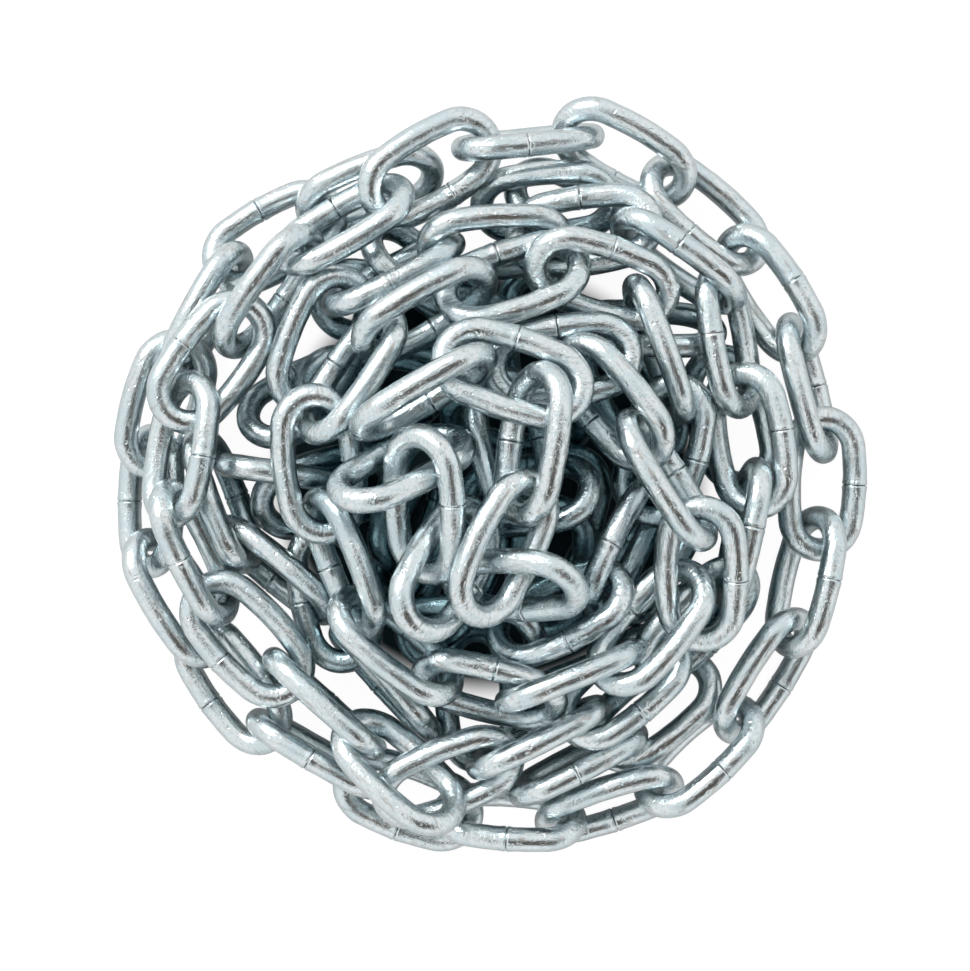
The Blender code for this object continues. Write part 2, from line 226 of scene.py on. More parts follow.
# Links (counted from nought) that share a solid with the link after them.
FUSED_LINKS = {
    "outer_turn": (0, 2, 6),
    "second_turn": (4, 7, 12, 15, 18),
    "third_turn": (0, 7, 14),
    "top_turn": (4,),
    "low_left": (0, 1),
    "low_right": (0, 1),
    "low_bottom": (0,),
    "low_top": (0,),
    "low_front": (),
    "low_middle": (),
}

# The layers of buried links: lowest and highest middle and radius in millimetres, and the
# number of links that are tried there.
BURIED_LAYERS = (
    (4.0, 9.0, 63.0, 44),
    (8.0, 15.0, 52.0, 36),
)
BURIED_SEED = 4

# The random places that each buried link chooses from, its most roll in degrees and its most
# slope.
BURIED_CHOICES = 160
BURIED_ROLL = 90.0
BURIED_SLOPE = 0.45

# How a buried link settles, and the least gap, the highest middle and the farthest reach, in
# millimetres, with which it stays.
BURIED_STEPS = 40
BURIED_EASE_RATE = 2.0
BURIED_PULL = 0.02
BURIED_GAP = WIRE - 0.35
BURIED_ROOF = 17.0
BURIED_SPAN = 68.0

# Square cells of floor in the heap's middle that the buried links should hide. Their side and
# their reach are in millimetres. A hidden cell makes up for so many millimetres of overlap.
OPEN_CELL = 2.0
OPEN_CELLS = 70
OPEN_REACH = 50.0
OPEN_SHARE = 0.7
CLOSING_WORTH = 6.0

# The grid of the heap's top: cells along a side, a cell's side and how far a wire reaches in
# millimetres, and the rounds of softening.
COVER_CELLS = 70
COVER_CELL = 3.0
COVER_REACH = 10.0
COVER_SOFTENING = 2

# Where the depth under that top, and with it the painted shade, fades out towards the rim, in metres.
RIM_REACH = 0.084
RIM_WIDTH = 0.020

# How the link's mesh is made, in metres.
CROWN_ARC_POINTS = 24
WELD_FACTOR = 0.25
RING_GATHER = 0.8
BEAD_WIDTH = 0.0011
SEAM_WIDTH = 0.00022
DENTS_PER_METRE = 260.0
DENT_DETAIL = 3.0
NOISE_MIDDLE = 0.5

# The noise patterns of the zinc plate: how many to a metre, detail and roughness of each.
GRAIN = (2600.0, 3.0, 0.6)
SPECKLE = (1300.0, 2.0, 0.6)
CLOUD = (140.0, 3.0, 0.55)
STREAK = (900.0, 4.0, 0.6)
PITS = (700.0, 2.0, 0.5)
STREAK_STRETCH = (0.22, 1.0, 1.0)
LINK_PATTERN_SHIFT = 7.0

# Between which values of its pattern each mark on the plate comes in.
BLUE_SPECKLE = (0.45, 0.62)
BLUE_CLOUD = (0.4, 0.7)
STAIN = (0.54, 0.7)
DULL_CLOUD = (0.3, 0.7)
DULL_STREAK = (0.5, 0.75)
OPEN_SEAM = (0.38, 0.58)
DEEP_PITS = (0.62, 0.75)

# How strong the marks are.
SPECKLE_SHARE = 0.8
STAIN_SHARE = 0.5
STREAK_DULLNESS = 0.12
GRAIN_HEIGHT = 0.2
SPECKLE_HEIGHT = 0.25
STREAK_HEIGHT = 0.9
PIT_HEIGHT = -0.5
BUMP_DEPTH = 0.0003

# The open seam's width, and the depths in the heap between which painted shade darkens the plate, in
# metres.
SEAM_LINE = 0.00013
PAINTED_SHADE_DEPTHS = (0.003, 0.031)

# Welds that the photo shows, in its pixels.
WELDS = (
    (338, 213), (455, 200), (180, 342), (160, 457), (190, 555), (220, 660), (342, 697), (303, 770),
    (505, 857), (612, 812), (722, 769), (785, 688), (826, 578), (855, 485), (786, 362), (782, 288),
    (683, 238), (693, 262), (617, 170), (524, 147), (452, 790), (640, 712), (715, 655), (745, 525),
    (772, 432), (707, 335), (613, 245), (492, 242), (387, 343), (345, 365), (350, 462), (497, 660),
    (732, 580), (695, 460), (518, 335), (555, 320), (447, 503), (207, 457), (230, 460), (272, 487),
    (392, 290), (567, 775), (672, 460), (567, 640), (635, 615), (605, 543), (588, 520),
)

# How near a limb's middle a weld must be seen, in pixels, how far the limb may lie below the
# link's middle, and how far along it the weld may be, in millimetres.
WELD_REACH = 20.0
WELD_DROP = 6.0
WELD_TRAVEL = 2.5

# The photo's width in pixels, the camera's sensor in millimetres and the large light in metres.
PHOTO_WIDTH = 970.0
SENSOR_WIDTH = 36.0
KEY_PLACE = (-0.55, 0.65, 0.75)
KEY_SIZE = (0.5, 0.35)

# The white surround's dark patch: its direction, the cosines at its edge and heart, and colours.
DARK_PATCH = (0.30, -0.34, 0.89)
DARK_EDGE = 0.83
DARK_HEART = 0.95
DARK_COLOUR = (0.11, 0.095, 0.085)
SURROUND_COLOUR = (1.0, 1.0, 1.0)

# The floor that is seen, with its painted shade under the heap, and the one just below, in metres.
SEEN_FLOOR_COLOUR = (0.12, 0.12, 0.12)
SEEN_FLOOR_GLOW = 0.95
SHADE_REACH = 0.046
SHADE_EDGE = 0.008
SHADE_COLOUR = (0.01, 0.035, 0.045)
LIT_FLOOR_COLOUR = (0.7, 0.7, 0.7)
FLOOR_DROP = 0.0005
FLOOR_ROUGHNESS = 0.9


def link_outline():
    """Centre line of one link, lying in its own plane, with limbs that bow outwards."""
    straight = HALF_REACH - CROWN_RADIUS
    angles = np.linspace(-np.pi / 2, np.pi / 2, CROWN_STEPS + 1)
    crown = np.stack([straight + CROWN_RADIUS * np.cos(angles), CROWN_RADIUS * np.sin(angles)], 1)
    limb = [[0.0, CROWN_RADIUS]]
    outline = np.vstack([crown, limb, -crown, -np.array(limb)])
    fall = 1.0 - (outline[:, 0] / HALF_REACH) ** 2
    outline[:, 1] *= 1.0 + (LIMB_REACH / CROWN_RADIUS - 1.0) * fall**2
    return np.column_stack([outline, np.zeros(len(outline))])


def rolled_frame(axis, roll):
    """Axis, side and normal of a link whose left side is raised by the roll."""
    axis = axis / np.linalg.norm(axis)
    left = np.cross([0.0, 0.0, 1.0], axis)
    left /= np.linalg.norm(left)
    up = np.cross(axis, left)
    turn = math.radians(roll)
    side = left * math.cos(turn) + up * math.sin(turn)
    return np.stack([axis, side, np.cross(axis, side)], 1)


def pixels_per_mm(height):
    """Scale of the photo at a height above the floor."""
    return FLOOR_PIXELS_PER_MM * CAMERA_HEIGHT / (CAMERA_HEIGHT - height)


def traced_pose(row, dip):
    """Middle in pixels, height and frame of a traced link."""
    tip_x, tip_y, other_x, other_y, roll, height = row
    tip = np.array([tip_x - PHOTO_CENTRE[0], PHOTO_CENTRE[1] - tip_y])
    other = np.array([other_x - PHOTO_CENTRE[0], PHOTO_CENTRE[1] - other_y])
    heading = np.append((other - tip) / pixels_per_mm(height), -dip)
    return (tip + other) / 2, float(height), rolled_frame(heading, roll)


def spread_rolls(rolls):
    """Turn neighbouring links apart until one can pass through the other."""
    rolls = list(rolls)
    for _ in range(TURNING_ROUNDS):
        for k in range(len(rolls) - 1):
            gap = (rolls[k + 1] - rolls[k] + 90.0) % 180.0 - 90.0
            if abs(gap) < LEAST_TURN:
                nudge = math.copysign((LEAST_TURN - abs(gap)) / 2, gap)
                rolls[k] -= nudge
                rolls[k + 1] += nudge
    return rolls


def threaded_run(centres, frames, rolls):
    """Place each link of a run from one joint to the next, so that all are threaded."""
    half = INSIDE_LENGTH / 2
    heads = [c - f[:, 0] * half for c, f in zip(centres, frames)]
    tails = [c + f[:, 0] * half for c, f in zip(centres, frames)]
    joints = [heads[0]]
    joints += [(tail + head) / 2 for tail, head in zip(tails[:-1], heads[1:])]
    joints.append(tails[-1])
    threaded = []
    for first, second, roll in zip(joints[:-1], joints[1:], spread_rolls(rolls)):
        threaded.append(((first + second) / 2, rolled_frame(second - first, roll)))
    return threaded


def core_top(x, y):
    """Height of the plain core at a place on the floor."""
    fall = (x * x + y * y) / CORE_RADIUS**2
    return CORE_HEIGHT * np.clip(1.0 - fall, 0.0, 1.0)


def closest_on_segments(start_a, span_a, start_b, span_b):
    """Places along pairs of segments where they are nearest to each other."""
    offset = start_a - start_b
    aa = np.einsum("ij,ij->i", span_a, span_a)
    bb = np.einsum("ij,ij->i", span_b, span_b)
    ab = np.einsum("ij,ij->i", span_a, span_b)
    ao = np.einsum("ij,ij->i", span_a, offset)
    bo = np.einsum("ij,ij->i", span_b, offset)
    spread = aa * bb - ab * ab
    crossing = spread > TINY
    safe = np.where(crossing, spread, 1.0)
    along_a = np.where(crossing, np.clip((ab * bo - ao * bb) / safe, 0, 1), 0.5)
    along_b = np.clip((ab * along_a + bo) / bb, 0, 1)
    along_a = np.clip((ab * along_b - ao) / aa, 0, 1)
    return along_a, along_b


class Heap:
    """Rigid links that are pushed apart, pulled to the traced places and lowered."""

    def __init__(self):
        self.outline = link_outline()
        self.names, self.fused = [], []
        traced, started = [], []
        for strand in STRANDS:
            poses, rolls = self.trace(strand)
            traced += poses
            centres = [np.append(p[0] / pixels_per_mm(p[1]), p[1]) for p in poses]
            started += threaded_run(centres, [p[2] for p in poses], rolls)
        self.traced_pixels = np.array([pose[0] for pose in traced])
        self.traced_heights = np.array([pose[1] for pose in traced])
        self.traced_frames = np.array([pose[2] for pose in traced])
        self.centres = np.array([pose[0] for pose in started])
        self.frames = np.array([pose[1] for pose in started])
        self.loose = np.ones((len(traced), 1))
        self.clear = np.full((len(traced), len(traced)), CLEAR)
        for k in self.fused:
            self.clear[k, k + 1] = FUSED
        self.easy_turn = self.inverse_inertia()

    def trace(self, strand):
        """Name the links of one length of chain, and give their traced poses and rolls."""
        poses, rolls = [], []
        for run_name in strand:
            self.fused += [len(self.names) + k for k in FUSED_LINKS[run_name]]
            for number, row in enumerate(RUNS[run_name], 1):
                name = f"{run_name}_link_{number:02d}"
                self.names.append(name)
                poses.append(traced_pose(row, DIPS.get(name, 0.0)))
                rolls.append(row[4])
        return poses, rolls

    def inverse_inertia(self):
        """Ease of turning about the axis, the side and the normal, for unit mass."""
        spread = (self.outline**2).mean(axis=0)
        return 1.0 / np.array([spread[1] + spread[2], spread[0] + spread[2], spread[0] + spread[1]])

    def points(self):
        """Centre-line points of every link."""
        turned = np.einsum("nij,kj->nki", self.frames, self.outline)
        return self.centres[:, None, :] + turned

    def near_pairs(self):
        """Pairs of links that could touch."""
        apart = np.linalg.norm(self.centres[:, None] - self.centres[None], axis=2)
        return np.where(np.triu(apart < 2 * HALF_REACH + 2 * WIRE, 1))

    def turning(self, index, arm, push):
        """Spin per unit of push, and how easily the point gives way."""
        torque = np.cross(arm, push)
        own = np.einsum("nji,nj->ni", self.frames[index], torque) * self.easy_turn
        spin = np.einsum("nij,nj->ni", self.frames[index], own)
        return spin, 1.0 + np.einsum("ni,ni->n", spin, torque)

    def contacts(self, pairs):
        """Where wires of two links come near each other, and how far apart they are there."""
        one, two = pairs
        points = self.points()
        spans = np.roll(points, -1, axis=1) - points
        middles = points + spans / 2
        reach = np.linalg.norm(spans, axis=2) / 2
        apart = np.linalg.norm(middles[one][:, :, None] - middles[two][:, None], axis=3)
        limit = reach[one][:, :, None] + reach[two][:, None] + CLEAR
        pair, seg_one, seg_two = np.where(apart < limit)
        a, b = one[pair], two[pair]
        along_a, along_b = closest_on_segments(
            points[a, seg_one], spans[a, seg_one], points[b, seg_two], spans[b, seg_two])
        at_a = points[a, seg_one] + spans[a, seg_one] * along_a[:, None]
        at_b = points[b, seg_two] + spans[b, seg_two] * along_b[:, None]
        return a, b, pair, at_a, at_b, np.linalg.norm(at_a - at_b, axis=1)

    def part_wires(self, pairs, ease, moves, spins):
        """Push apart the links whose wires are closer than their clearance."""
        one, two = pairs
        a, b, pair, at_a, at_b, gap = self.contacts(pairs)
        depth = self.clear[a, b] * ease - gap
        hit = depth > 0
        a, b, pair, depth, gap = a[hit], b[hit], pair[hit], depth[hit], gap[hit]
        push = (at_a[hit] - at_b[hit]) / np.maximum(gap, TINY)[:, None]
        spin_a, give_a = self.turning(a, at_a[hit] - self.centres[a], push)
        spin_b, give_b = self.turning(b, at_b[hit] - self.centres[b], push)
        share = (depth / (give_a + give_b) * depth)[:, None]
        np.add.at(moves, a, share * push)
        np.add.at(moves, b, -share * push)
        np.add.at(spins, a, share * spin_a)
        np.add.at(spins, b, -share * spin_b)
        weight = np.full(len(moves), TINY)
        np.add.at(weight, a, depth)
        np.add.at(weight, b, depth)
        partners = np.zeros(len(moves))
        touching = np.unique(pair)
        np.add.at(partners, one[touching], 1)
        np.add.at(partners, two[touching], 1)
        gain = (np.clip(partners, 1, MOST_PUSHES) / weight)[:, None]
        moves *= gain
        spins *= gain

    def join_fused(self, moves):
        """Draw together the links that share a solid."""
        points = self.points()
        count = points.shape[1]
        first, second = np.divmod(np.arange(count * count), count)
        for k in self.fused:
            spans = np.roll(points[k], -1, axis=0) - points[k]
            spans_next = np.roll(points[k + 1], -1, axis=0) - points[k + 1]
            along, along_next = closest_on_segments(
                points[k][first], spans[first], points[k + 1][second], spans_next[second])
            here = points[k][first] + spans[first] * along[:, None]
            there = points[k + 1][second] + spans_next[second] * along_next[:, None]
            apart = np.linalg.norm(there - here, axis=1)
            nearest = int(np.argmin(apart))
            if apart[nearest] > FUSED:
                step = (there - here)[nearest] * (1.0 - FUSED / apart[nearest]) / 2
                moves[k] += step
                moves[k + 1] -= step

    def ground(self, points):
        """Lowest that a wire's centre line may lie: on the floor, or on the core."""
        core = core_top(points[:, :, 0], points[:, :, 1]) + CORE_CLEAR
        over_core = np.hypot(points[:, :, 0], points[:, :, 1]) < CORE_RADIUS + CORE_CLEAR
        return np.where(over_core, core, SECTION_RADIUS)

    def rest_on_ground(self, moves, spins):
        """Lift the links that dip into the ground."""
        points = self.points()
        dip = self.ground(points) - points[:, :, 2]
        for k in np.where(dip.max(axis=1) > 0)[0]:
            weight = np.clip(dip[k], 0, None)[:, None]
            arm = ((points[k] - self.centres[k]) * weight).sum(axis=0) / weight.sum()
            up = np.array([[0.0, 0.0, 1.0]])
            spin, give = self.turning(np.array([k]), arm[None], up)
            moves[k] += up[0] * dip[k].max() / give[0]
            spins[k] += spin[0] * dip[k].max() / give[0]

    def pull_to_photo(self, pull, moves, spins):
        """Draw each link to its traced place, and more weakly to its height and turn."""
        target = self.traced_pixels / pixels_per_mm(self.centres[:, 2])[:, None]
        moves[:, :2] += pull * (target - self.centres[:, :2])
        moves[:, 2] += pull * WEAK_SHARE * (self.traced_heights - self.centres[:, 2])
        astray = np.cross(self.frames, self.traced_frames, axis=1).sum(axis=2)
        spins += pull * WEAK_SHARE * astray

    def turn_by(self, spins):
        """Turn the frames by small rotation vectors."""
        angle = np.linalg.norm(spins, axis=1)
        unit = spins / np.maximum(angle, TINY)[:, None]
        cross = np.zeros_like(self.frames)
        cross[:, 0, 1], cross[:, 0, 2], cross[:, 1, 2] = -unit[:, 2], unit[:, 1], -unit[:, 0]
        cross[:, 1, 0], cross[:, 2, 0], cross[:, 2, 1] = unit[:, 2], -unit[:, 1], unit[:, 0]
        sine = np.sin(angle)[:, None, None]
        cosine = np.cos(angle)[:, None, None]
        rotation = np.eye(3) + sine * cross + (1 - cosine) * (cross @ cross)
        self.frames = np.round(rotation @ self.frames, DIGITS)

    def step(self, pairs, ease, pull, sink):
        """One round of pushing apart, pulling back and lowering."""
        moves = np.zeros_like(self.centres)
        spins = np.zeros_like(self.centres)
        self.part_wires(pairs, ease, moves, spins)
        self.join_fused(moves)
        self.rest_on_ground(moves, spins)
        self.pull_to_photo(pull, moves, spins)
        moves[:, 2] -= sink
        moves *= self.loose
        spins *= self.loose
        longest = np.linalg.norm(moves, axis=1)
        moves *= np.minimum(1, LONGEST_MOVE / np.maximum(longest, TINY))[:, None]
        widest = np.linalg.norm(spins, axis=1)
        spins *= np.minimum(1, LONGEST_MOVE / HALF_REACH / np.maximum(widest, TINY))[:, None]
        self.centres = np.round(self.centres + moves, DIGITS)
        self.turn_by(spins)

    def settle(self):
        """Lay the whole heap, with wires that thicken to full size in the first rounds."""
        for step in range(STEPS):
            done = step / STEPS
            if step % PAIRING_STEPS == 0:
                pairs = self.near_pairs()
            ease = min(1.0, FIRST_EASE + (1 - FIRST_EASE) * step / THREADING_STEPS)
            pull = PULL_START * (1 - done) + PULL_END if done < PULLING_SHARE else 0.0
            sink = SINK if done < SINKING_SHARE else 0.0
            self.step(pairs, ease, pull, sink)


def with_middles(points):
    """The centre-line points of links, and those halfway between them."""
    halfway = (points + np.roll(points, -1, axis=1)) / 2
    return np.concatenate([points, halfway], axis=1).reshape(-1, 3)


class BuriedHeap(Heap):
    """The links in view, held still, and the buried links that are found room among them."""

    def __init__(self, heap):
        self.outline, self.easy_turn, self.fused = heap.outline, heap.easy_turn, []
        self.centres, self.frames = heap.centres.copy(), heap.frames.copy()
        self.held = len(self.centres)

    def ground(self, points):
        """Lowest that a wire's centre line may lie: on the floor."""
        return np.full(points.shape[:2], SECTION_RADIUS)

    def pull_to_photo(self, pull, moves, spins):
        """Draw the newest link back to where it started."""
        moves[-1] += pull * (self.start - self.centres[-1])

    def random_poses(self, chance, low, high, radius):
        """Many random middles and frames within a layer."""
        poses = []
        for _ in range(BURIED_CHOICES):
            angle = chance.uniform(0.0, math.tau)
            out = radius * math.sqrt(chance.uniform())
            height = chance.uniform(low, high)
            bearing = chance.uniform(0.0, math.tau)
            slope = chance.uniform(-BURIED_SLOPE, BURIED_SLOPE)
            roll = chance.uniform(-BURIED_ROLL, BURIED_ROLL)
            middle = np.array([out * math.cos(angle), out * math.sin(angle), height])
            heading = np.array([math.cos(bearing), math.sin(bearing), slope])
            poses.append((middle, rolled_frame(heading, roll)))
        return poses

    def cells_at(self, places):
        """The cells of the floor that lie under some places."""
        cells = ((places + OPEN_CELLS * OPEN_CELL / 2) / OPEN_CELL).astype(int)
        return tuple(np.clip(cells, 0, OPEN_CELLS - 1).reshape(-1, 2).T)

    def cover(self, points):
        """Close the cells that wires hide from above."""
        self.open[self.cells_at(with_middles(points)[:, None, :2] + self.beside)] = False

    def open_middle(self):
        """Open the cells in the heap's middle that the links in view leave bare."""
        steps = (np.arange(OPEN_CELLS) + 0.5 - OPEN_CELLS / 2) * OPEN_CELL
        self.open = np.hypot(steps[:, None], steps[None]) < OPEN_REACH
        side = np.array([-1.0, 0.0, 1.0]) * SECTION_RADIUS * OPEN_SHARE
        self.beside = np.stack(np.meshgrid(side, side), axis=-1).reshape(-1, 2)
        self.cover(self.points())

    def crowding(self, middle, turn):
        """How deep a link would lie in its neighbours and in the floor, less what it covers."""
        own = middle + self.outline @ turn.T
        near = np.linalg.norm(self.centres - middle, axis=1) < 2 * HALF_REACH + WIRE
        others = with_middles(self.points()[near])
        apart = np.linalg.norm(own[:, None] - others[None], axis=2)
        in_wires = np.clip(CLEAR - apart, 0, None).sum()
        in_floor = np.clip(SECTION_RADIUS - own[:, 2], 0, None).sum()
        hidden = self.open[self.cells_at(own[:, :2])].sum()
        return in_wires + in_floor - CLOSING_WORTH * hidden

    def try_link(self, middle, turn):
        """Settle one more link among its neighbours, and leave it out if it finds no room."""
        near = np.linalg.norm(self.centres - middle, axis=1) < 2 * HALF_REACH + 2 * WIRE
        whole = self.centres, self.frames
        self.start = middle
        self.centres = np.vstack([self.centres[near], middle])
        self.frames = np.concatenate([self.frames[near], turn[None]])
        gap = self.settle_newest()
        points = self.points()[-1]
        spread = np.hypot(points[:, 0], points[:, 1]).max()
        middle, turn = self.centres[-1], self.frames[-1]
        self.centres, self.frames = whole
        if gap > BURIED_GAP and spread < BURIED_SPAN and middle[2] < BURIED_ROOF:
            self.centres = np.vstack([self.centres, middle])
            self.frames = np.concatenate([self.frames, turn[None]])
            self.cover(points[None])

    def settle_newest(self):
        """Settle the newest link while the others are held, and give the gap that it ends with."""
        count = len(self.centres)
        self.clear = np.full((count, count), CLEAR)
        self.loose = np.zeros((count, 1))
        self.loose[-1] = 1.0
        pairs = np.arange(count - 1), np.full(count - 1, count - 1)
        for step in range(BURIED_STEPS):
            ease = min(1.0, FIRST_EASE + BURIED_EASE_RATE * step / BURIED_STEPS)
            self.step(pairs, ease, BURIED_PULL, 0.0)
        self.centres[-1, 2] += max(0.0, SECTION_RADIUS - self.points()[-1, :, 2].min())
        return self.contacts(pairs)[-1].min(initial=CLEAR)

    def fill(self):
        """Lay the buried links layer by layer, each in the roomiest and barest of many places."""
        chance = np.random.default_rng(BURIED_SEED)
        self.open_middle()
        for low, high, radius, count in BURIED_LAYERS:
            for _ in range(count):
                poses = self.random_poses(chance, low, high, radius)
                self.try_link(*min(poses, key=lambda pose: self.crowding(*pose)))


class NodeSheet:
    """Adds nodes to a tree and joins their sockets."""

    def __init__(self, tree):
        self.tree = tree

    def add(self, kind, inputs=None, **settings):
        """One node, with its settings and its inputs by name or number."""
        node = self.tree.nodes.new(kind)
        for name, value in settings.items():
            setattr(node, name, value)
        for name, value in (inputs or {}).items():
            self.feed(node.inputs[name], value)
        return node

    def feed(self, socket, value):
        """Join a socket to another, or set its own value."""
        if isinstance(value, bpy.types.NodeSocket):
            self.tree.links.new(value, socket)
        else:
            socket.default_value = value

    def math(self, operation, *values):
        """The result of one sum."""
        node = self.add("ShaderNodeMath", operation=operation)
        for socket, value in zip(node.inputs, values):
            self.feed(socket, value)
        return node.outputs[0]

    def total(self, *values):
        """The sum of several values."""
        result = values[0]
        for value in values[1:]:
            result = self.math("ADD", result, value)
        return result

    def ease(self, value, low, high, start=0.0, end=1.0):
        """A value that goes smoothly from start to end while another goes from low to high."""
        node = self.add("ShaderNodeMapRange", {0: value, 1: low, 2: high, 3: start, 4: end},
                        interpolation_type="SMOOTHSTEP")
        return node.outputs[0]

    def hump(self, value, width):
        """One at nought, and falling away to either side."""
        ratio = self.math("DIVIDE", value, width)
        return self.math("EXPONENT", self.math("MULTIPLY", self.math("MULTIPLY", ratio, ratio), -1.0))

    def parts(self, vector):
        """The three parts of a vector."""
        return self.add("ShaderNodeSeparateXYZ", {0: vector}).outputs


def straight_loop(sheet, given, reach):
    """A loop with straight limbs and round crowns, whose points gather at the weld."""
    box = sheet.add("GeometryNodeCurvePrimitiveQuadrilateral", {
        "Width": reach, "Height": sheet.math("MULTIPLY", given["Crown Radius"], 2.0)})
    stadium = sheet.add("GeometryNodeFilletCurve", {
        "Curve": box.outputs["Curve"], "Radius": given["Crown Radius"], "Count": CROWN_ARC_POINTS,
        "Limit Radius": True}, mode="POLY")
    even = sheet.add("GeometryNodeResampleCurve", {
        "Curve": stadium.outputs["Curve"], "Count": given["Rings"]}, mode="COUNT")
    factor = sheet.add("GeometryNodeSplineParameter").outputs["Factor"]
    phase = sheet.math("MULTIPLY", sheet.math("SUBTRACT", factor, WELD_FACTOR), math.tau)
    gather = sheet.math("MULTIPLY", sheet.math("SINE", phase), -RING_GATHER / math.tau)
    warped = sheet.math("FRACT", sheet.total(factor, gather, 1.0))
    sampled = sheet.add("GeometryNodeSampleCurve", {
        "Curves": stadium.outputs["Curve"], "Factor": warped}, mode="FACTOR", use_all_curves=True)
    return sheet.add("GeometryNodeSetPosition", {
        "Geometry": even.outputs["Curve"], "Position": sampled.outputs["Position"]}).outputs["Geometry"]


def link_wire(sheet, given):
    """The bent wire of one link about its own centre, its limbs bowed outwards."""
    reach = sheet.math("ADD", given["Inside Length"], given["Wire"])
    loop = straight_loop(sheet, given, reach)
    place = sheet.parts(sheet.add("GeometryNodeInputPosition").outputs["Position"])
    along = sheet.math("DIVIDE", place["X"], sheet.math("MULTIPLY", reach, 0.5))
    fall = sheet.math("SUBTRACT", 1.0, sheet.math("MULTIPLY", along, along))
    swell = sheet.math("MULTIPLY_ADD", sheet.math("MULTIPLY", fall, fall), given["Bow"], 1.0)
    bowed_place = sheet.add("ShaderNodeCombineXYZ", {
        "X": place["X"], "Y": sheet.math("MULTIPLY", place["Y"], swell)}).outputs[0]
    bowed = sheet.add("GeometryNodeSetPosition", {"Geometry": loop, "Position": bowed_place})
    section = sheet.add("GeometryNodeCurvePrimitiveCircle", {
        "Resolution": given["Sides"], "Radius": sheet.math("MULTIPLY", given["Wire"], 0.5)}, mode="RADIUS")
    return sheet.add("GeometryNodeCurveToMesh", {
        "Curve": bowed.outputs["Geometry"], "Profile Curve": section.outputs["Curve"]}).outputs["Mesh"]


def keep(sheet, geometry, name, kind, value, domain="POINT"):
    """Store a value on the geometry under a name."""
    return sheet.add("GeometryNodeStoreNamedAttribute", {
        "Geometry": geometry, "Name": name, "Value": value}, data_type=kind, domain=domain).outputs[0]


def kept(sheet, name, kind):
    """A value that is stored on the geometry."""
    return sheet.add("GeometryNodeInputNamedAttribute", {"Name": name}, data_type=kind).outputs[0]


def swell_by(sheet, geometry, height):
    """Move the surface out by a height."""
    normal = sheet.add("GeometryNodeInputNormal").outputs[0]
    offset = sheet.add("ShaderNodeVectorMath", {0: normal, "Scale": height}, operation="SCALE").outputs[0]
    return sheet.add("GeometryNodeSetPosition", {"Geometry": geometry, "Offset": offset}).outputs[0]


def weld_relief(sheet, given):
    """Height of the weld: an upset bead with a fine open seam, on the left limb only."""
    place = sheet.parts(kept(sheet, "in_link", "FLOAT_VECTOR"))
    past = sheet.math("SUBTRACT", place["X"], kept(sheet, "weld_place", "FLOAT"))
    left = sheet.math("GREATER_THAN", place["Y"], 0.0)
    bead = sheet.math("MULTIPLY", sheet.hump(past, given["Bead Width"]), given["Bead"])
    seam = sheet.math("MULTIPLY", sheet.hump(past, given["Seam Width"]), given["Seam Depth"])
    return sheet.math("MULTIPLY", sheet.math("SUBTRACT", bead, seam), left)


def noise(sheet, vector, scale, detail, roughness=0.5, stretch=None):
    """A noise pattern, from nought to one."""
    if stretch:
        vector = sheet.add("ShaderNodeMapping", {"Vector": vector, "Scale": stretch}).outputs[0]
    return sheet.add("ShaderNodeTexNoise", {
        "Vector": vector, "Scale": scale, "Detail": detail, "Roughness": roughness}).outputs[0]


def unevenness(sheet, given):
    """Small hollows and swellings of drawn and bent wire."""
    place = sheet.add("GeometryNodeInputPosition").outputs[0]
    dents = noise(sheet, place, DENTS_PER_METRE, DENT_DETAIL)
    lift = sheet.math("SUBTRACT", dents, NOISE_MIDDLE)
    return sheet.math("MULTIPLY", lift, given["Unevenness"])


def bare_tree():
    """A tree with no nodes yet, only its inputs and its output."""
    tree = bpy.data.node_groups.new("chain_links", "GeometryNodeTree")
    inputs = {
        "Geometry": ("Geometry",),
        "Float": ("Wire", "Inside Length", "Crown Radius", "Bow", "Bead", "Bead Width",
                  "Seam Depth", "Seam Width", "Unevenness"),
        "Int": ("Rings", "Sides", "Seed"),
        "Material": ("Material",),
    }
    for kind, names in inputs.items():
        for name in names:
            tree.interface.new_socket(name, in_out="INPUT", socket_type=f"NodeSocket{kind}")
    tree.interface.new_socket("Geometry", in_out="OUTPUT", socket_type="NodeSocketGeometry")
    return tree


def chain_tree():
    """Geometry nodes that put a full link on every point of a mesh."""
    tree = bare_tree()
    sheet = NodeSheet(tree)
    given = sheet.add("NodeGroupInput").outputs
    wire = keep(sheet, link_wire(sheet, given), "in_link", "FLOAT_VECTOR",
                sheet.add("GeometryNodeInputPosition").outputs[0])
    placed = sheet.add("GeometryNodeInstanceOnPoints", {
        "Points": given["Geometry"], "Instance": wire,
        "Rotation": kept(sheet, "turn", "QUATERNION")}).outputs[0]
    tone = sheet.add("FunctionNodeRandomValue", {"Seed": given["Seed"]}, data_type="FLOAT")
    toned = keep(sheet, placed, "link_tone", "FLOAT", tone.outputs["Value"], "INSTANCE")
    solid = sheet.add("GeometryNodeRealizeInstances", {"Geometry": toned}).outputs[0]
    welded = swell_by(sheet, solid, weld_relief(sheet, given))
    uneven = swell_by(sheet, welded, unevenness(sheet, given))
    smooth = sheet.add("GeometryNodeSetShadeSmooth", {"Geometry": uneven, "Shade Smooth": True})
    finished = sheet.add("GeometryNodeSetMaterial", {
        "Geometry": smooth.outputs[0], "Material": given["Material"]})
    sheet.add("NodeGroupOutput", {"Geometry": finished.outputs[0]})
    return tree


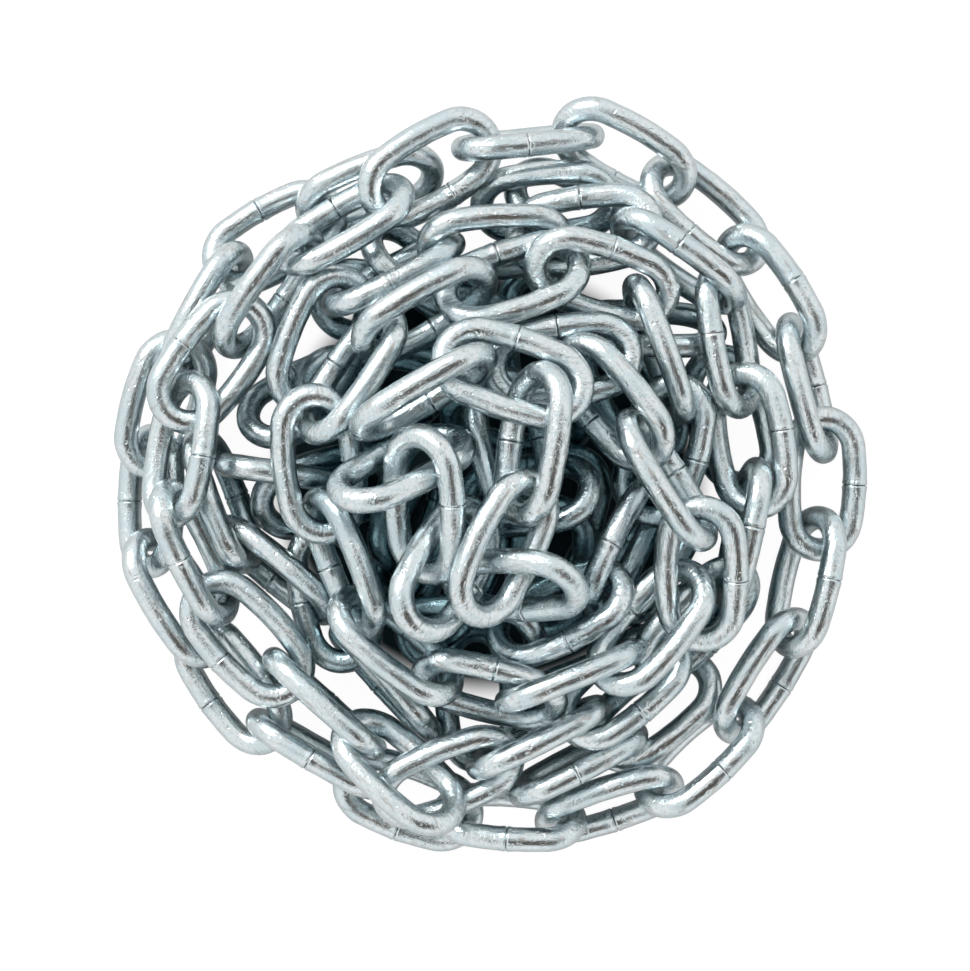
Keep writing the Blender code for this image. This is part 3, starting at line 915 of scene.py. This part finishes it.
def heap_top(heap):
    """Height of the heap's top over a square grid of cells, in metres, with soft edges."""
    points = with_middles(heap.points() - HeapLayout.middle)
    steps = (np.arange(COVER_CELLS) - COVER_CELLS / 2) * COVER_CELL
    apart = np.hypot(steps[:, None, None] - points[:, 0], steps[None, :, None] - points[:, 1])
    top = np.where(apart < COVER_REACH, points[:, 2], 0.0).max(axis=2)
    for _ in range(COVER_SOFTENING):
        for axis in (0, 1):
            top = (np.roll(top, 1, axis) + 2 * top + np.roll(top, -1, axis)) / 4
    return top * MILLIMETRE


def note_painted_shade_depth(mesh, top):
    """Store how far each corner of a mesh lies below the heap's top, less near the rim, as the depth that
    paints shade on the plate.
    """
    places = np.empty(len(mesh.vertices) * 3, np.float32)
    mesh.vertices.foreach_get("co", places)
    places = places.reshape(-1, 3)
    cells = places[:, :2] / (COVER_CELL * MILLIMETRE) + COVER_CELLS / 2
    corner = np.clip(cells.astype(int), 0, COVER_CELLS - 2)
    part_x, part_y = np.clip(cells - corner, 0, 1).T
    x, y = corner.T
    over = ((1 - part_x) * (1 - part_y) * top[x, y] + part_x * (1 - part_y) * top[x + 1, y]
            + (1 - part_x) * part_y * top[x, y + 1] + part_x * part_y * top[x + 1, y + 1])
    reach = np.hypot(places[:, 0], places[:, 1])
    inside = np.clip((RIM_REACH - reach) / RIM_WIDTH, 0, 1)
    depth = np.clip(over - places[:, 2], 0, None) * inside
    attribute = mesh.attributes.new("depth", "FLOAT", "POINT")
    attribute.data.foreach_set("value", depth.astype(np.float32))


def points_mesh(name, centres, turns, weld_places):
    """A mesh of one point for each link, with its turn and the place of its weld."""
    mesh = bpy.data.meshes.new(name)
    mesh.from_pydata([tuple(centre) for centre in centres], [], [])
    for label, kind, values in (("turn", "QUATERNION", turns), ("weld_place", "FLOAT", weld_places)):
        attribute = mesh.attributes.new(label, kind, "POINT")
        attribute.data.foreach_set("value", np.ravel(values).astype(np.float32))
    return mesh


def grow_chain(name, mesh, tree, inputs):
    """Run the tree on the points and keep its result as a plain mesh."""
    piece = bpy.data.objects.new(name, mesh)
    bpy.context.scene.collection.objects.link(piece)
    modifier = piece.modifiers.new("links", "NODES")
    modifier.node_group = tree
    for item in tree.interface.items_tree:
        if item.in_out == "INPUT" and item.name in inputs:
            modifier[item.identifier] = inputs[item.name]
    evaluated = piece.evaluated_get(bpy.context.evaluated_depsgraph_get())
    solid = bpy.data.meshes.new_from_object(evaluated)
    solid.name = name
    piece.modifiers.clear()
    piece.data = solid
    return piece


def blend(sheet, amount, first, second):
    """A colour between two others."""
    node = sheet.add("ShaderNodeMix", {0: amount}, data_type="RGBA")
    sheet.feed(node.inputs[6], first)
    sheet.feed(node.inputs[7], second)
    return node.outputs[2]


def noted(sheet, name, output="Fac"):
    """A value that the mesh carries under a name."""
    return sheet.add("ShaderNodeAttribute", attribute_name=name).outputs[output]


def link_place(sheet):
    """Place of the surface within its own link, moved apart from link to link."""
    shift = sheet.math("MULTIPLY", noted(sheet, "link_tone"), LINK_PATTERN_SHIFT)
    offset = sheet.add("ShaderNodeCombineXYZ", {0: shift, 1: shift, 2: shift}).outputs[0]
    own = noted(sheet, "in_link", "Vector")
    return sheet.add("ShaderNodeVectorMath", {0: own, 1: offset}, operation="ADD").outputs[0]


def weld_line(sheet):
    """How near the surface is to the open seam of the weld."""
    place = sheet.parts(noted(sheet, "in_link", "Vector"))
    past = sheet.math("SUBTRACT", place[0], noted(sheet, "weld_place"))
    left = sheet.math("GREATER_THAN", place[1], 0.0)
    return sheet.math("MULTIPLY", sheet.hump(past, SEAM_LINE), left)


def plate_patterns(sheet):
    """The noise patterns that the plate's colour, gloss and relief share."""
    place = link_place(sheet)
    return {
        "grain": noise(sheet, place, *GRAIN),
        "speckle": noise(sheet, place, *SPECKLE),
        "cloud": noise(sheet, place, *CLOUD),
        "streak": noise(sheet, place, *STREAK, STREAK_STRETCH),
        "pits": noise(sheet, place, *PITS),
    }


def plate_colour(sheet, patterns, settings):
    """Pale zinc, here and there bluer or stained, with painted shade deep in the heap, and dark in the
    open seam.
    """
    bluer = sheet.math(
        "MULTIPLY_ADD", sheet.ease(patterns["speckle"], *BLUE_SPECKLE), SPECKLE_SHARE,
        sheet.ease(patterns["cloud"], *BLUE_CLOUD))
    stained = sheet.math("MULTIPLY", sheet.ease(patterns["streak"], *STAIN), STAIN_SHARE)
    # Painted shade: the plate darkens to teal by how deep it lies under the heap's top, standing in for
    # the shade among the links.
    painted_shade = sheet.ease(noted(sheet, "depth"), *PAINTED_SHADE_DEPTHS)
    seam = sheet.math("MULTIPLY", weld_line(sheet), sheet.ease(patterns["pits"], *OPEN_SEAM))
    colour = (*settings.zinc_colour, 1.0)
    for amount, other in (
            (bluer, settings.blue_colour), (stained, settings.streak_colour),
            (painted_shade, settings.painted_shade_colour), (seam, settings.seam_colour)):
        colour = blend(sheet, amount, colour, (*other, 1.0))
    return colour


def plate_roughness(sheet, patterns, settings):
    """Bright, but duller in clouds and along the streaks."""
    cloudy = sheet.math(
        "MULTIPLY_ADD", sheet.ease(patterns["cloud"], *DULL_CLOUD), settings.roughness_spread,
        settings.roughness)
    return sheet.math(
        "MULTIPLY_ADD", sheet.ease(patterns["streak"], *DULL_STREAK), STREAK_DULLNESS, cloudy)


def plate_relief(sheet, patterns, settings):
    """Fine relief of grain, speckles, streaks and deep pits."""
    height = sheet.total(
        sheet.math("MULTIPLY", patterns["grain"], GRAIN_HEIGHT),
        sheet.math("MULTIPLY", patterns["speckle"], SPECKLE_HEIGHT),
        sheet.math("MULTIPLY", patterns["streak"], STREAK_HEIGHT),
        sheet.math("MULTIPLY", sheet.ease(patterns["pits"], *DEEP_PITS), PIT_HEIGHT))
    return sheet.add("ShaderNodeBump", {
        "Strength": settings.relief, "Distance": BUMP_DEPTH, "Height": height}).outputs[0]


def zinc_material(settings):
    """Bright zinc plate on drawn wire: grainy, streaked along the limbs and open at the weld."""
    material = bpy.data.materials.new("zinc_plate")
    material.use_nodes = True
    shader = material.node_tree.nodes["Principled BSDF"]
    shader.inputs["Metallic"].default_value = 1.0
    sheet = NodeSheet(material.node_tree)
    patterns = plate_patterns(sheet)
    sheet.feed(shader.inputs["Base Color"], plate_colour(sheet, patterns, settings))
    sheet.feed(shader.inputs["Roughness"], plate_roughness(sheet, patterns, settings))
    sheet.feed(shader.inputs["Normal"], plate_relief(sheet, patterns, settings))
    return material


def limb_middles(centre, turn):
    """The middles of a link's left and right limbs."""
    return [centre + side * turn[:, 1] * LIMB_REACH for side in (1.0, -1.0)]


def on_photo(place):
    """Pixel of the photo at which a place of the heap is seen."""
    scale = pixels_per_mm(place[2])
    return np.array([PHOTO_CENTRE[0] + place[0] * scale, PHOTO_CENTRE[1] - place[1] * scale])


def weld_of(centre, turn):
    """Whether a link's weld is on its right limb, and its place along it; unseen, it is below."""
    nearest, on_right, place = WELD_REACH, turn[2, 1] >= 0, 0.0
    for right, middle in zip((False, True), limb_middles(centre, turn)):
        for mark in WELDS:
            apart = np.subtract(mark, on_photo(middle))
            distance = np.hypot(*apart)
            if distance < nearest and middle[2] > centre[2] - WELD_DROP:
                along = (apart[0] * turn[0, 0] - apart[1] * turn[1, 0]) / pixels_per_mm(middle[2])
                along = float(np.clip(along, -WELD_TRAVEL, WELD_TRAVEL))
                nearest, on_right, place = distance, right, -along if right else along
    return on_right, place


def link_turns(centres, frames):
    """Quaternion and weld place of each link, turned half round if its weld is on the right."""
    turns, places = [], []
    for centre, turn in zip(centres, frames):
        on_right, place = weld_of(centre, turn)
        basis = Matrix([list(row) for row in turn])
        if on_right:
            basis = basis @ Matrix.Rotation(math.pi, 3, "Z")
        turns.append(tuple(basis.to_quaternion()))
        places.append(place * MILLIMETRE)
    return turns, places


class HeapLayout:
    """The laid chain, worked out once for all the operators."""

    laid = None

    @classmethod
    def get(cls):
        """The laid heap with its buried links; its middle, its names and its top are kept too."""
        if cls.laid is None:
            heap = Heap()
            heap.settle()
            points = heap.points()
            low, high = points.min(axis=(0, 1)), points.max(axis=(0, 1))
            cls.middle = np.array([(low[0] + high[0]) / 2, (low[1] + high[1]) / 2, 0.0])
            cls.names = heap.names
            cls.laid = BuriedHeap(heap)
            cls.laid.fill()
            cls.top = heap_top(cls.laid)
        return cls.laid


def lay_piece(context, name, chosen, nodes, rings, sides):
    """One piece of the scene: some of the links in full, in place of their plain solids."""
    heap = HeapLayout.get()
    settings = context.scene.chain_heap
    turns, weld_places = link_turns(heap.centres[chosen], heap.frames[chosen])
    centres = (heap.centres[chosen] - HeapLayout.middle) * MILLIMETRE
    mesh = points_mesh(name, centres, turns, weld_places)
    tree = bpy.data.node_groups.get("chain_links") or chain_tree()
    material = bpy.data.materials.get("zinc_plate") or zinc_material(settings)
    piece = grow_chain(name, mesh, tree, {
        "Wire": settings.wire, "Inside Length": settings.inside_length,
        "Crown Radius": CROWN_RADIUS * MILLIMETRE, "Bow": settings.bow,
        "Bead": settings.bead, "Bead Width": BEAD_WIDTH, "Seam Depth": settings.seam_depth,
        "Seam Width": SEAM_WIDTH, "Unevenness": settings.unevenness, "Rings": rings,
        "Sides": sides, "Seed": len(chosen), "Material": material})
    # Store the depth that paints shade on the links deep in the heap.
    note_painted_shade_depth(piece.data, HeapLayout.top)
    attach(piece, "root")
    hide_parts(*nodes)


def lay_runs(context, name, runs):
    """One piece of the links in view whose names start with a run's name."""
    HeapLayout.get()
    settings = context.scene.chain_heap
    chosen = [k for k, label in enumerate(HeapLayout.names) if label.startswith(runs)]
    nodes = [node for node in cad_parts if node.startswith(runs)]
    lay_piece(context, name, chosen, nodes, settings.rings, settings.sides)


class ChainHeapSettings(bpy.types.PropertyGroup):
    """Sizes and finish of the chain."""

    wire: FloatProperty(
        name="Wire", description="Diameter of the wire", default=WIRE * MILLIMETRE, unit="LENGTH")
    inside_length: FloatProperty(
        name="Inside length", description="Length of a link's opening",
        default=INSIDE_LENGTH * MILLIMETRE, unit="LENGTH")
    bow: FloatProperty(
        name="Bow", description="How far the limbs bulge, as a share of the crown's radius",
        default=LIMB_REACH / CROWN_RADIUS - 1.0)
    bead: FloatProperty(
        name="Weld bead", description="Height of the upset at the weld", default=0.00018, unit="LENGTH")
    seam_depth: FloatProperty(
        name="Seam depth", description="Depth of the open seam", default=0.00035, unit="LENGTH")
    unevenness: FloatProperty(
        name="Unevenness", description="Height of the wire's hollows and swellings",
        default=0.00022, unit="LENGTH")
    rings: IntProperty(name="Rings", description="Rings of faces along a link", default=128)
    sides: IntProperty(name="Sides", description="Faces round the wire", default=24)
    buried_rings: IntProperty(
        name="Buried rings", description="Rings of faces along a buried link", default=96)
    buried_sides: IntProperty(
        name="Buried sides", description="Faces round a buried link's wire", default=16)
    zinc_colour: FloatVectorProperty(
        name="Zinc", description="Colour of the bright plate", subtype="COLOR",
        default=(0.72, 0.768, 0.776))
    blue_colour: FloatVectorProperty(
        name="Blue", description="Colour of the plate where it is bluer", subtype="COLOR",
        default=(0.61, 0.705, 0.735))
    streak_colour: FloatVectorProperty(
        name="Streaks", description="Colour of the brown streaks", subtype="COLOR",
        default=(0.38, 0.33, 0.28))
    # Painted shade: the dark teal that stands in for the shade deep in the heap.
    painted_shade_colour: FloatVectorProperty(
        name="Deep", description="Colour of the painted shade deep in the heap", subtype="COLOR",
        default=(0.165, 0.285, 0.32))
    seam_colour: FloatVectorProperty(
        name="Seam", description="Colour in the open seam", subtype="COLOR",
        default=(0.02, 0.02, 0.025))
    roughness: FloatProperty(name="Roughness", description="Least roughness of the plate", default=0.12)
    roughness_spread: FloatProperty(
        name="Roughness spread", description="How much rougher the dull patches are", default=0.14)
    relief: FloatProperty(name="Relief", description="Strength of the fine relief", default=0.6)


class StageSettings(bpy.types.PropertyGroup):
    """Floor, light and camera."""

    floor_size: FloatProperty(
        name="Floor", description="Side of the square floor", default=3.0, unit="LENGTH")
    camera_height: FloatProperty(
        name="Camera height", description="Height of the camera above the floor",
        default=CAMERA_HEIGHT * MILLIMETRE, unit="LENGTH")
    surround: FloatProperty(name="Surround", description="Brightness of the white surround", default=1.0)
    key_light: FloatProperty(
        name="Key light", description="Power of the large light at the upper left", default=6.0,
        unit="POWER")


class CHAINHEAP_OT_outer_turn(bpy.types.Operator):
    """Lay the outer turn of the chain, on the floor"""

    bl_idname = "chain_heap.outer_turn"
    bl_label = "Outer Turn"

    def execute(self, context):
        lay_runs(context, "outer_turn_chain", "outer_turn")
        return {"FINISHED"}


class CHAINHEAP_OT_second_turn(bpy.types.Operator):
    """Lay the second turn, which leans on the first"""

    bl_idname = "chain_heap.second_turn"
    bl_label = "Second Turn"

    def execute(self, context):
        lay_runs(context, "second_turn_chain", "second_turn")
        return {"FINISHED"}


class CHAINHEAP_OT_third_turn(bpy.types.Operator):
    """Lay the third turn"""

    bl_idname = "chain_heap.third_turn"
    bl_label = "Third Turn"

    def execute(self, context):
        lay_runs(context, "third_turn_chain", "third_turn")
        return {"FINISHED"}


class CHAINHEAP_OT_top_turn(bpy.types.Operator):
    """Lay the tangle on top, with the free end link"""

    bl_idname = "chain_heap.top_turn"
    bl_label = "Top"

    def execute(self, context):
        lay_runs(context, "top_chain", "top_turn")
        return {"FINISHED"}


class CHAINHEAP_OT_lower_links(bpy.types.Operator):
    """Lay the lower links that show between the turns"""

    bl_idname = "chain_heap.lower_links"
    bl_label = "Lower Links"

    def execute(self, context):
        lay_runs(context, "lower_chain", "low_")
        return {"FINISHED"}


class CHAINHEAP_OT_buried_links(bpy.types.Operator):
    """Fill the middle with the links that lie under the others"""

    bl_idname = "chain_heap.buried_links"
    bl_label = "Buried Links"

    def execute(self, context):
        heap = HeapLayout.get()
        settings = context.scene.chain_heap
        buried = range(heap.held, len(heap.centres))
        lay_piece(context, "buried_chain", list(buried), ["hidden_core"],
                  settings.buried_rings, settings.buried_sides)
        return {"FINISHED"}


def add_key_light(power):
    """One large soft light at the upper left, turned to the heap."""
    light = bpy.data.lights.new("key_light", "AREA")
    light.shape = "RECTANGLE"
    light.size, light.size_y = KEY_SIZE
    light.energy = power
    lamp = bpy.data.objects.new("key_light", light)
    lamp.location = KEY_PLACE
    lamp.rotation_euler = (-Vector(KEY_PLACE)).to_track_quat("-Z", "Y").to_euler()
    bpy.context.scene.collection.objects.link(lamp)


def add_camera(height):
    """The camera, straight above the place that the photo's middle shows."""
    lens = bpy.data.cameras.new("camera")
    lens.sensor_width = SENSOR_WIDTH
    lens.lens = SENSOR_WIDTH * CAMERA_HEIGHT * FLOOR_PIXELS_PER_MM / PHOTO_WIDTH
    camera = bpy.data.objects.new("camera", lens)
    x, y, _ = -HeapLayout.middle * MILLIMETRE
    camera.location = (x, y, height)
    bpy.context.scene.collection.objects.link(camera)
    bpy.context.scene.camera = camera


def add_surround(brightness):
    """A white surround with one dark patch a little off the camera, for the metal to mirror."""
    world = bpy.data.worlds.new("surround")
    world.use_nodes = True
    bpy.context.scene.world = world
    sheet = NodeSheet(world.node_tree)
    background = world.node_tree.nodes["Background"]
    way = sheet.add("ShaderNodeTexCoord").outputs["Generated"]
    toward = sheet.add("ShaderNodeVectorMath", {0: way, 1: DARK_PATCH}, operation="DOT_PRODUCT")
    bright = sheet.ease(toward.outputs["Value"], DARK_EDGE, DARK_HEART, 1.0, 0.0)
    colour = blend(sheet, bright, (*DARK_COLOUR, 1.0), (*SURROUND_COLOUR, 1.0))
    sheet.feed(background.inputs["Color"], colour)
    background.inputs["Strength"].default_value = brightness


def floor_material(name, colour):
    """Plain white and matt."""
    material = bpy.data.materials.new(name)
    material.use_nodes = True
    shader = material.node_tree.nodes["Principled BSDF"]
    shader.inputs["Base Color"].default_value = (*colour, 1.0)
    shader.inputs["Roughness"].default_value = FLOOR_ROUGHNESS
    return material


def seen_floor_material():
    """White, lit from within as a light table is, and dark where the heap's middle shades it."""
    material = floor_material("white_floor", SEEN_FLOOR_COLOUR)
    shader = material.node_tree.nodes["Principled BSDF"]
    sheet = NodeSheet(material.node_tree)
    place = sheet.add("ShaderNodeTexCoord").outputs["Object"]
    reach = sheet.add("ShaderNodeVectorMath", {0: place}, operation="LENGTH").outputs["Value"]
    # Painted shade: the floor turns dark teal and stops glowing under the heap's middle.
    open_floor = sheet.ease(reach, SHADE_REACH, SHADE_REACH + SHADE_EDGE)
    shaded = blend(sheet, open_floor, (*SHADE_COLOUR, 1.0), (*SEEN_FLOOR_COLOUR, 1.0))
    sheet.feed(shader.inputs["Base Color"], shaded)
    shader.inputs["Emission Color"].default_value = (1.0, 1.0, 1.0, 1.0)
    sheet.feed(shader.inputs["Emission Strength"], sheet.math("MULTIPLY", open_floor, SEEN_FLOOR_GLOW))
    return material


def add_floor(name, size, height, material):
    """A level square floor at a height."""
    sheet = bmesh.new()
    bmesh.ops.create_grid(sheet, x_segments=1, y_segments=1, size=size / 2)
    bmesh.ops.translate(sheet, verts=sheet.verts, vec=(0.0, 0.0, height))
    mesh = bpy.data.meshes.new(name)
    sheet.to_mesh(mesh)
    sheet.free()
    mesh.materials.append(material)
    floor = bpy.data.objects.new(name, mesh)
    bpy.context.scene.collection.objects.link(floor)
    return floor


def add_floors(size):
    """The white floor that is seen, and under it one that throws light back up to the links."""
    seen = add_floor("floor", size, 0.0, seen_floor_material())
    seen.visible_diffuse = False
    seen.visible_glossy = False
    seen.visible_shadow = False
    lit = add_floor("floor_bounce", size, -FLOOR_DROP, floor_material("lit_floor", LIT_FLOOR_COLOUR))
    lit.visible_camera = False


class CHAINHEAP_OT_stage(bpy.types.Operator):
    """Set up the floor, the light and the camera"""

    bl_idname = "chain_heap.stage"
    bl_label = "Stage"

    def execute(self, context):
        stage = context.scene.chain_stage
        HeapLayout.get()
        add_floors(stage.floor_size)
        add_surround(stage.surround)
        add_key_light(stage.key_light)
        add_camera(stage.camera_height)
        context.scene.view_settings.view_transform = "Standard"
        return {"FINISHED"}


class CHAINHEAP_PT_panel(bpy.types.Panel):
    """Buttons for each piece of the heap"""

    bl_label = "Chain Heap"
    bl_idname = "CHAINHEAP_PT_panel"
    bl_space_type = "VIEW_3D"
    bl_region_type = "UI"
    bl_category = "Chain Heap"

    def draw(self, context):
        column = self.layout.column(align=True)
        for operator in OPERATORS:
            column.operator(operator.bl_idname)
        settings = context.scene.chain_heap
        for name in ("wire", "inside_length", "zinc_colour", "blue_colour", "roughness"):
            self.layout.prop(settings, name)


OPERATORS = (
    CHAINHEAP_OT_outer_turn,
    CHAINHEAP_OT_second_turn,
    CHAINHEAP_OT_third_turn,
    CHAINHEAP_OT_top_turn,
    CHAINHEAP_OT_lower_links,
    CHAINHEAP_OT_buried_links,
    CHAINHEAP_OT_stage,
)
CLASSES = (ChainHeapSettings, StageSettings, *OPERATORS, CHAINHEAP_PT_panel)


def register():
    """Add the classes and their settings."""
    for item in CLASSES:
        bpy.utils.register_class(item)
    bpy.types.Scene.chain_heap = PointerProperty(type=ChainHeapSettings)
    bpy.types.Scene.chain_stage = PointerProperty(type=StageSettings)


def unregister():
    """Take the classes and their settings away."""
    del bpy.types.Scene.chain_stage
    del bpy.types.Scene.chain_heap
    for item in reversed(CLASSES):
        bpy.utils.unregister_class(item)


def main():
    """Dress the heap, and set up the floor, the light and the camera."""
    register()
    bpy.ops.chain_heap.outer_turn()
    bpy.ops.chain_heap.second_turn()
    bpy.ops.chain_heap.third_turn()
    bpy.ops.chain_heap.top_turn()
    bpy.ops.chain_heap.lower_links()
    bpy.ops.chain_heap.buried_links()
    bpy.ops.chain_heap.stage()


if __name__ == "__main__":
    main()
